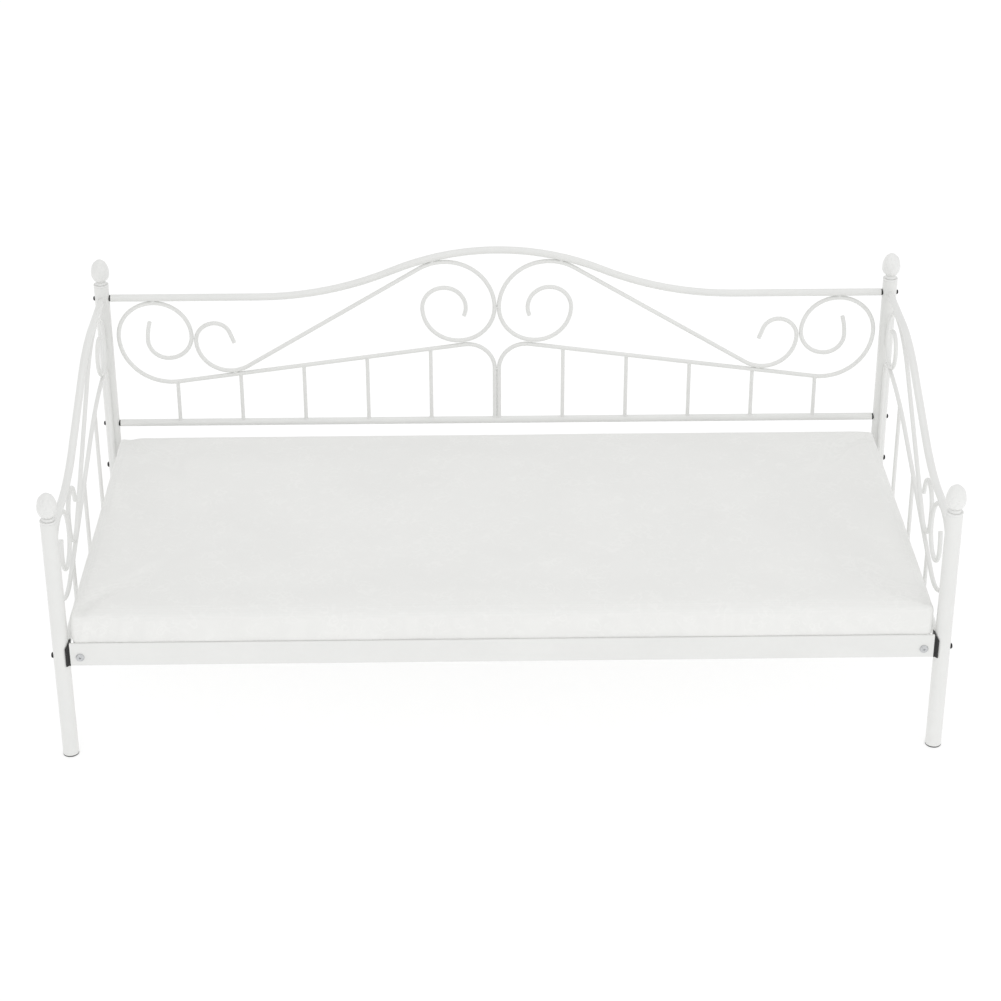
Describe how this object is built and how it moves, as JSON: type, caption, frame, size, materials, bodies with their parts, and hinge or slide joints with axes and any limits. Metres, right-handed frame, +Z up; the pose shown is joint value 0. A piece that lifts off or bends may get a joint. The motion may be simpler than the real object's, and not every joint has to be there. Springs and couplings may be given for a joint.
{
  "type": "daybed",
  "caption": "Single daybed in white powder-coated steel tube with scrollwork back and side panels, egg finials, bolted slatted deck and a loose covered mattress.",
  "frame": {"origin": "on the floor under the middle of the daybed's bounding box", "axes": "+X along the bed towards its right end seen from the open front, +Y from the open front to the back panel, +Z up"},
  "size_m": [2.1062, 0.9962, 0.9013],
  "materials": {
    "white_powder_coat": "satin powder coat",
    "white_finial": "satin",
    "zinc_steel": "zinc plated",
    "zinc_bolt": "zinc plated",
    "black_bolt": "black oxide",
    "black_plastic": "matte moulded",
    "grey_plastic": "matte moulded",
    "white_cover": "knitted and quilted",
    "foam": "open-cell foam"
  },
  "bodies": {
    "frame": {"back_bars_left": "white_powder_coat", "back_bars_right": "white_powder_coat", "back_inner_scroll_left": "white_powder_coat", "back_inner_scroll_right": "white_powder_coat", "back_lower_rail": "white_powder_coat", "back_outer_scroll_left": "white_powder_coat", "back_outer_scroll_right": "white_powder_coat", "back_rail_inserts": "zinc_steel", "back_rail_spacers": "black_plastic", "back_top_rail": "white_powder_coat", "bracket_front_left": "zinc_steel", "bracket_front_right": "zinc_steel", "bracket_rear_left": "zinc_steel", "bracket_rear_right": "zinc_steel", "finial_front_left": "white_finial", "finial_front_right": "white_finial", "finial_rear_left": "white_finial", "finial_rear_right": "white_finial", "finial_studs": "zinc_steel", "foot_front_left": "grey_plastic", "foot_front_right": "grey_plastic", "foot_rear_left": "grey_plastic", "foot_rear_right": "grey_plastic", "front_ledge": "white_powder_coat", "front_rail": "white_powder_coat", "panel_bolts": "black_bolt", "post_bolt_nuts": "zinc_steel", "post_bolts": "black_bolt", "post_cap_front_left": "white_finial", "post_cap_front_right": "white_finial", "post_cap_rear_left": "white_finial", "post_cap_rear_right": "white_finial", "post_front_left": "white_powder_coat", "post_front_right": "white_powder_coat", "post_rear_left": "white_powder_coat", "post_rear_right": "white_powder_coat", "rail_bolt_nuts": "zinc_steel", "rail_bolts": "zinc_bolt", "rear_ledge": "white_powder_coat", "rear_rail": "white_powder_coat", "saddle_front_left": "black_plastic", "saddle_front_right": "black_plastic", "saddle_rear_left": "black_plastic", "saddle_rear_right": "black_plastic", "side_bars_left": "white_powder_coat", "side_bars_right": "white_powder_coat", "side_inner_scroll_left": "white_powder_coat", "side_inner_scroll_right": "white_powder_coat", "side_lower_tube_left": "white_powder_coat", "side_lower_tube_right": "white_powder_coat", "side_outer_scroll_left": "white_powder_coat", "side_outer_scroll_right": "white_powder_coat", "side_top_tube_left": "white_powder_coat", "side_top_tube_right": "white_powder_coat", "slat_plugs_front": "black_plastic", "slat_plugs_rear": "black_plastic", "slats": "white_powder_coat"},
    "mattress": {"mattress_cover": "white_cover", "mattress_core": "foam"}
  },
  "joints": [
    {"name": "mattress_lift", "type": "slide", "parent": "frame", "child": "mattress", "axis": [0, 0, 1], "range_m": [0, 0.62]}
  ]
}
